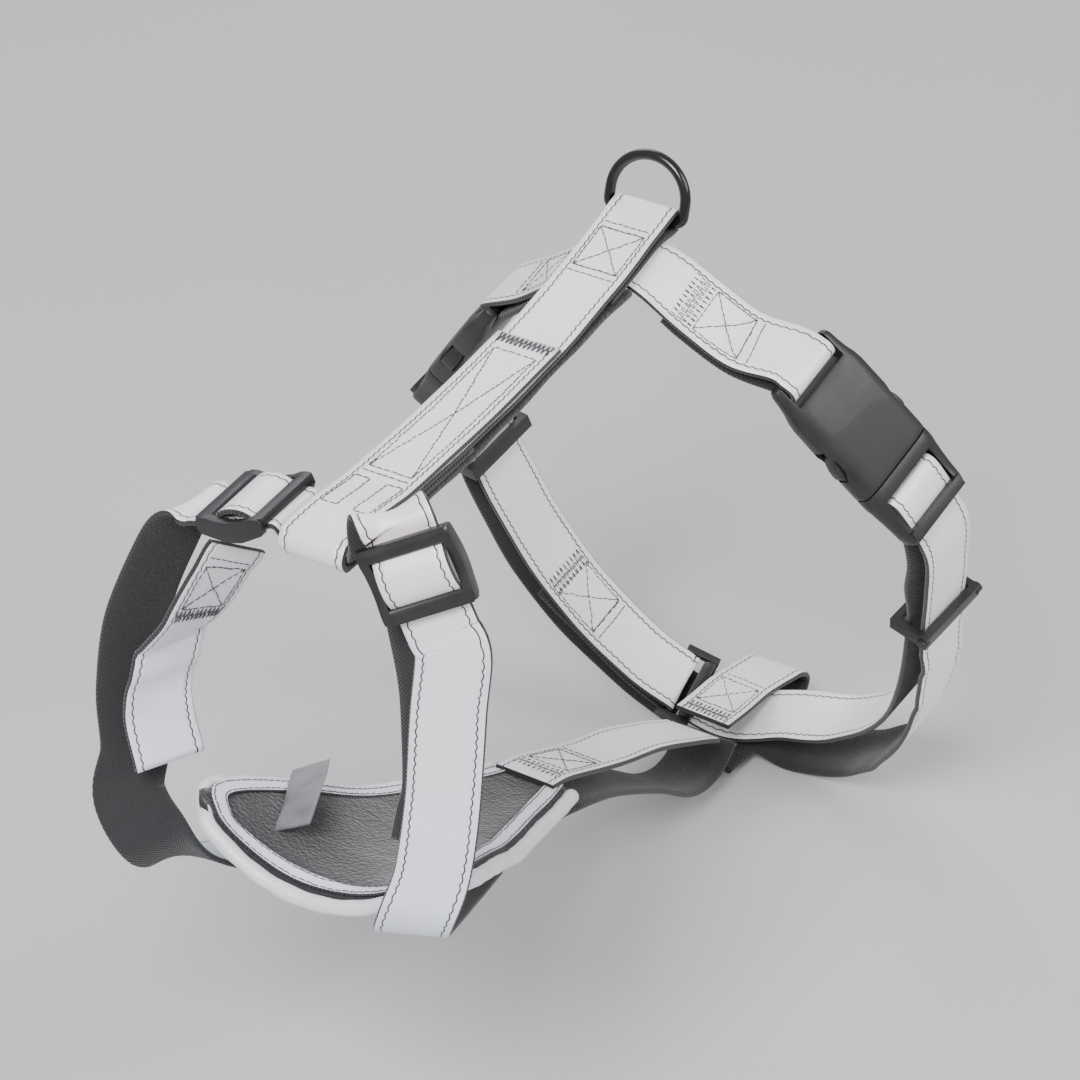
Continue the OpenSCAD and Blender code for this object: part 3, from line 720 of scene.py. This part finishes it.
# ---- sewing ---------------------------------------------------------------------------------
y14, y17, y37 = back.near(0, -14, 0.6), back.near(0, -17, -0.2), back.near(0, -37, -4.3)
stitches("sewn_back_rear", back, pair(y14 - 1, apart=3) + box_x(y17, y37) + pair(y37, apart=3.2))
y92, y172, y176 = front.near(0, -91, -9), front.near(0, -171, -10.2), front.near(0, -176, -10.1)
stitches("sewn_back_front", front, box_x(y92, y172, 8.2) + [[(y176, -9), (y176, 9)]]
         + [[(y176 + 4, 3.2), (y176 + 4, 9), (y176 + 25, 9), (y176 + 25, 3.2), (y176 + 4, 3.2)],
            [(y176 + 4, -3.2), (y176 + 4, -9), (y176 + 25, -9), (y176 + 25, -3.2), (y176 + 4, -3.2)]])
stitches("sewn_back_end", front, zigzag(3.2, 5.4, 10.4, 12), r=0.26, pitch=3.2)
left30 = top.near(30, -12.5, -23)
stitches("sewn_girth_left", top, zigzag(left30 - 4, 10, 9.2, 9) + box_x(left30 + 1.5, left30 + 20)
         + pair(left30 + 20, apart=3.6))
right25 = top.near(-25, -13.2, -22.2)
stitches("sewn_girth_right", top, zigzag(right25 + 2, 9, 9.2, 9) + box_x(right25 - 18, right25 - 3)
         + pair(right25 - 21.6, apart=3.6))
zig, box0, box1 = right_web.near(-59, 49, -206), right_web.near(-56.5, 50.4, -210), right_web.near(-45, 55, -229)
stitches("sewn_girth_inner", right_web, zigzag(zig, 9, 9.2, 9) + box_x(box1, box0) + pair(box1 - 3.6, apart=3.6),
         white=-1)
sr0 = shoulder_right.near(-38, -216, -33)
stitches("sewn_shoulder", shoulder_right, pair(sr0 - 2, apart=2.8) + box_x(sr0 + 0.8, sr0 + 19)
         + zigzag(sr0 + 22.5, 5.5, 9.6, 11))
st0 = sternum.near(0.4, -77, -201)
stitches("sewn_sternum", sternum, zigzag(st0, 8, 9.2, 9) + box_x(st0 + 6, st0 + 28) + pair(st0 + 28, apart=3.4),
         white=-1)
fl0 = flap.near(7.2, 46, -250.4)
stitches("sewn_belly", flap, zigzag(fl0, 7, 9.2, 10) + box_x(fl0 + 5, fl0 + 25) + pair(fl0 + 25, apart=3.4),
         white=-1)


# ---- shoulder sliders -----------------------------------------------------------------------
def make_slider(side_name, where):
    w, length, barw = 32.0, 27.0, 3.0
    over = 1 + 0.4 + barw / 2
    rail = (w - 25) / 2 - 0.4
    x = (w - rail) / 2

    def side_shape(s):
        outline = [(-13.5, 0.6), (-13.0, 3.9), (-11.6, 4.5), (-9.0, 4.4), (-5.0, 3.2), (0.0, 2.7), (5.0, 3.2),
                   (9.0, 4.4), (11.6, 4.5), (13.0, 3.9), (13.5, 0.6), (12.2, -1.6), (8.0, -3.0), (3.5, -4.4),
                   (0.0, -4.6), (-3.5, -4.4), (-8.0, -3.0), (-12.2, -1.6)]
        points, faces = prism(outline, s * x - rail / 2, s * x + rail / 2)
        return [(p[2], p[0], p[1]) for p in points], faces

    steps = [("add", side_shape(1))]
    for s in (-1, 1):
        steps.append(("add", block(w - 2, 4, barw, (0, s * (length / 2 - 2), over))))
        steps.append(("add", rod((-w / 2 + 1, s * (length / 2 - 4), over), (w / 2 - 1, s * (length / 2 - 4), over), 1.5)))
    steps.append(("add", rod((-w / 2 + 1, 0, -over), (w / 2 - 1, 0, -over), 1.5)))
    carve("slider_frame_" + side_name, side_shape(-1), steps, where, "slider_" + side_name,
          nodes=["shoulder_slider_" + side_name], bevel=0.6)
    m, o = where
    hump = Band([list(o + m[1] * y + m[2] * z) + list(m[0])
                 for y, z in ((-9.6, 0.3), (-7.6, 2.2), (-4.0, 4.3), (0, 5.0), (4.0, 4.5), (7.6, 2.4), (9.6, 0.3))], 6)
    strap("slider_webbing_" + side_name, hump, white=1 if hump.up[5] @ m[2] > 0 else -1,
          body="slider_" + side_name, w=24.8)


make_slider("left", basis(slider_left, down_left, -across_left))
make_slider("right", basis(slider_right, down_right, across_right))


# ---- girth keepers --------------------------------------------------------------------------
def make_keeper(side_name, where, depth):
    inside_x, inside_z, wall = 26.8, depth + 2 + 1.8, 3.0
    mid = -depth / 2
    steps = [("cut", block(inside_x, 20, inside_z, (0, 0, mid)))]
    top_z = mid + inside_z / 2 + wall / 2
    for s in (-1, 1):
        steps.append(("add", rod((s * 14.6, 0, top_z - 0.1), (s * 17.4, 0, top_z - 0.1), 2.2)))
    carve("keeper_loop_" + side_name, block(inside_x + 2 * wall, 6, inside_z + 2 * wall, (0, 0, mid)), steps, where,
          "keeper_" + side_name, nodes=["girth_keeper_" + side_name], bevel=0.8)


make_keeper("left", basis(keeper_left, keeper_down_left, -GIRTH), 7)
make_keeper("right", basis(keeper_right, keeper_down_right, GIRTH), 9)


# ---- side-release buckles -------------------------------------------------------------------
def ellipse(cx, cy, a, b, n=28):
    return [(cx + a * math.cos(2 * math.pi * i / n), cy + b * math.sin(2 * math.pi * i / n)) for i in range(n)]


def make_buckle(side_name, where, front_arm):
    shell = loft([(-53.3, 14.2, 2.0), (-52.7, 15.6, 2.9), (-51, 16.3, 3.3), (-47, 16.7, 3.5), (-43, 17.2, 4.1),
                  (-39.5, 18.0, 5.0), (-36, 18.4, 5.4), (-19, 18.5, 5.6), (-9, 18.5, 5.6), (-2, 18.5, 5.55),
                  (0, 18.4, 5.45)], 40, 4.5)
    steps = [("cut", loft([(-38, 13.5, 2.7), (-34, 16.0, 3.2), (1, 16.2, 3.2)], 32, 6)),
             ("cut", block(26.6, 13, 20, (0, -49.0, 0)))]
    for s in (-1, 1):
        steps.append(("cut", prism(ellipse(s * 19.0, -17, 4.6, 7.6), -3.2, 3.2)))
        steps.append(("cut", prism(ellipse(s * 22.4, -16.5, 5.6, 9.2), -8, 8)))
    steps.append(("add", rod((-14, -49, 0), (14, -49, 0), 2.1)))
    carve("socket_" + side_name, shell, steps, where, nodes=["buckle_socket_" + side_name], bevel=0.4)

    base = loft([(0.6, 18.4, 5.45), (3, 18.5, 5.5), (5.5, 18.4, 5.35), (8, 18.1, 4.8), (12, 17.7, 4.35),
                 (18, 17.2, 4.1), (23, 16.8, 4.6), (25.6, 16.4, 4.5), (27.4, 15.2, 3.4)], 40, 4.5)
    steps = [("cut", block(26.4, 30, 20, (0, 21.2, 0))),
             ("add", rod((-14, 12, 0), (14, 12, 0), 2.1)),
             ("add", block(29, 4.4, 3.0, (0, 24, 3.9))),
             ("add", block(7, 20.4, 5.6, (0, -9.1, 0))),
             ("add", prism(ellipse(0, -19.3, 3.5, 3.5), -2.8, 2.8))]
    carve("plug_frame_" + side_name, base, steps, where, "plug_" + side_name,
          nodes=["buckle_plug_" + side_name], bevel=0.5)
    for s in (-1, 1):
        which = "front" if s == front_arm else "rear"
        outline = [(9.6, 0.2), (13.6, 0.2), (13.75, -5.0), (13.9, -9.6), (15.4, -9.9), (18.2, -10.4), (18.9, -11.6),
                   (19.0, -13.5), (18.7, -16.0), (17.9, -18.4), (16.4, -20.6), (14.5, -22.4), (12.6, -21.8),
                   (10.7, -20.0), (10.8, -15.0), (11.4, -10.0), (10.6, -4.0)]
        shape = prism([(s * x, y) for x, y in outline], -2.8, 2.8)
        carve("latch_%s_%s" % (side_name, which), shape, (), where, "arm_%s_%s" % (side_name, which),
              nodes=["latch_arm_%s_%s" % (side_name, which)], bevel=0.45)


make_buckle("left", basis(mouth_left, draw_left, -GIRTH), 1)
make_buckle("right", basis(mouth_right, draw_right, GIRTH), -1)

# ---- ring under the belly -------------------------------------------------------------------
ring_steps = [("add", block(3, 14.2, 3.2, (15, 0, 0)))]
for s in (-1, 1):
    ring_steps.append(("add", rod((-15.5, s * 5.5, 0), (15.5, s * 5.5, 0), 1.6)))
carve("belly_ring_frame", block(3, 14.2, 3.2, (-15, 0, 0)), ring_steps, basis(belly_ring_at, belly_way, -GIRTH),
      nodes=["belly_ring"], bevel=0.7)

# ---- lead ring ------------------------------------------------------------------------------
lean = math.radians(16)
outline = []
for cx, cz, r, a0, a1, n in ((15 - 3, 3, 3, -90, 0, 6), (0, 7, 15, 0, 180, 40), (-15 + 3, 3, 3, 180, 270, 6)):
    for i in range(n + 1):
        q = math.radians(a0 + (a1 - a0) * i / n)
        outline.append((cx + r * math.cos(q), cz + r * math.sin(q)))
rings, faces, sides = [], [], 20
k = len(outline)
for i, (x, z) in enumerate(outline):
    before, after = np.array(outline[i - 1]), np.array(outline[(i + 1) % k])
    d = unit(after - before)
    n2 = np.array([d[1], -d[0]])
    for j in range(sides):
        q = 2 * math.pi * j / sides
        xx, zz = np.array([x, z]) + n2 * 2.0 * math.cos(q)
        yy = 2.0 * math.sin(q)
        rings.append((xx, yy * math.cos(lean) + zz * math.sin(lean), -yy * math.sin(lean) + zz * math.cos(lean)))
for i in range(k):
    for j in range(sides):
        faces.append((i * sides + j, i * sides + (j + 1) % sides,
                      ((i + 1) % k) * sides + (j + 1) % sides, ((i + 1) % k) * sides + j))
finish_piece(fix_normals(mesh_object("lead_ring_wire", rings, faces, [METAL])), "lead_ring", ["d_ring"])

# ---- chest pad ------------------------------------------------------------------------------
STATIONS = [(-228, 45, -142, 18), (-222, 49, -144, 19), (-202, 47, -152, 17), (-178, 40, -162, 12),
            (-150, 31, -175, 6), (-120, 23, -186, 3.5), (-95, 17, -195, 2), (-78, 13, -200, 1)]


def between(a, b, t):
    return tuple(p + (q - p) * t for p, q in zip(a, b))


def pad_row(y):
    """Half width, height and rise of the pad at one place along it."""
    ys = [st[0] for st in STATIONS]
    return tuple(float(np.interp(y, ys, [st[c] for st in STATIONS])) for c in (1, 2, 3))


def pad_at(y, x, drop=0.0):
    half, mid, rise = pad_row(min(max(y, -228), -78))
    e = x / half
    bow = -4 * (1 - min(1, e * e)) * min(1.0, max(0.0, (-200 - y) / 25))
    return np.array([x, y + bow, mid + rise * e * e - drop])


rows, cols = 56, 40
points, faces = [], []
for layer in (0, 1):
    for i in range(rows + 1):
        f = i / rows
        y = -228 + 150 * f
        half = pad_row(y)[0]
        for j in range(cols + 1):
            e = 2 * j / cols - 1
            p = pad_at(y, half * e)
            end = max(0.0, 1 - f * 12) ** 2 + max(0.0, (f - 0.93) * 12) ** 2
            thin = min(1.0, abs(e) ** 8 + end)
            puff = (1 - e * e) * math.sin(math.pi * min(1, max(0, f))) ** 0.5
            ripple = 0.35 * math.sin(p[0] / 6.3 + p[1] / 11) * math.sin(p[1] / 8.7) * (1 - thin)
            p[2] += (-2.2 * thin + 0.9 * puff + ripple) if layer == 0 else (-7.4 + 2.2 * thin - 1.2 * puff + ripple)
            points.append(p)
n = cols + 1
low = (rows + 1) * n
for i in range(rows):
    for j in range(cols):
        a = i * n + j
        faces.append((a, a + 1, a + n + 1, a + n))
        faces.append((low + a, low + a + n, low + a + n + 1, low + a + 1))
for j in range(cols):
    faces.append((j, low + j, low + j + 1, j + 1))
    a = rows * n + j
    faces.append((a, a + 1, low + a + 1, low + a))
for i in range(rows):
    a, b = i * n, i * n + cols
    faces.append((a, a + n, low + a + n, low + a))
    faces.append((b, low + b, low + b + n, b + n))
pad = fix_normals(mesh_object("chest_cushion", points, faces, [KNIT]))
finish_piece(pad, "harness", ["chest_pad_lining", "chest_pad_foam", "chest_pad_shell"])


def rim(inset, drop, reach=0.0):
    """A line round the pad's sides and front, from one rear corner to the other."""
    out = []
    ys = [-80, -95, -120, -150, -178, -202, -215]
    for y in ys:
        out.append(pad_at(y, -(pad_row(y)[0] - inset)) + np.array([-reach, 0, -drop]))
    for f in (-0.93, -0.8, -0.6, -0.4, -0.2, 0, 0.2, 0.4, 0.6, 0.8, 0.93):
        corner = 3.2 * max(0.0, (abs(f) - 0.75) / 0.2) ** 2
        out.append(pad_at(-228 + inset + corner, (45 - inset) * f) + np.array([0, -reach, -drop]))
    for y in ys[::-1]:
        out.append(pad_at(y, pad_row(y)[0] - inset) + np.array([reach, 0, -drop]))
    return out


cord_line = rim(0, 4, 3.0)
path = Band([list(p) + [0.1, 0.2, 1] for p in cord_line], 8)
radii = [2.8 + 0.10 * math.sin(s / 2.1) + 0.08 * math.sin(s / 5.7 + 1) for s in path.run]
v, f = tube(path.place, radii, 14)
finish_piece(fix_normals(mesh_object("edge_piping", v, f, [PIPING])), "harness",
             ["chest_pad_piping"])
outer, inner = rim(0.5, 0.6), rim(6.6, -0.9)
middle = [list((a + b) / 2) + list(a - b) for a, b in zip(outer, inner)]
binding = Band(middle, 6)
strap("edge_binding", binding, white=2, w=6.2, t=0.9, face=TAPE_PLAIN, soft=0.15)
side_up = 1 if binding.up[len(binding.up) // 2][2] > 0 else -1
stitches("sewn_binding", binding, [[(3, q), (binding.run[-1] - 3, q)] for q in (-2.2, 2.2)], white=side_up,
         lift=0.55, pitch=2.9, material=DARK_THREAD)

label = Band(on([[-20, -210, -141], [-24, -198, -141.2], [-30, -185, -143.2], [-37, -171, -147]], (0.8, 0.3, 0.35)))
tag = strap("care_tape", label, white=0, w=14, t=0.6, back=LABEL, nodes=["care_label"], soft=0.25)

# ---- floor and light ------------------------------------------------------------------------
floor = mesh_object("floor", [(-4000, -4000, -278), (4000, -4000, -278), (4000, 4000, -278), (-4000, 4000, -278)],
                    [(0, 1, 2, 3)], [])
m = Nodes("floor")
m.end(m.mix(m.noise(m.place(), 3.0), (0.50, 0.50, 0.51, 1), (0.54, 0.54, 0.55, 1)), 0.85)
floor.data.materials.append(m.material)


def area_light(name, place, power, size, colour=(1, 1, 1)):
    data = bpy.data.lights.new(name, "AREA")
    data.energy, data.size, data.color = power, size, colour
    light = bpy.data.objects.new(name, data)
    light.location = place
    light.rotation_euler = (target - Vector(place)).to_track_quat("-Z", "Y").to_euler()
    bpy.context.scene.collection.objects.link(light)


area_light("key", (0.15, -1.3, 1.25), 40, 0.7)
area_light("side", (1.3, 0.2, 0.8), 15, 0.9, (1.0, 0.97, 0.93))
area_light("rim", (-0.9, 0.9, 0.9), 8, 0.9, (0.93, 0.96, 1.0))
world = bpy.data.worlds.new("studio")
bpy.context.scene.world = world
world.use_nodes = True
world.node_tree.nodes["Background"].inputs[0].default_value = (0.9, 0.92, 0.95, 1)
world.node_tree.nodes["Background"].inputs[1].default_value = 0.7
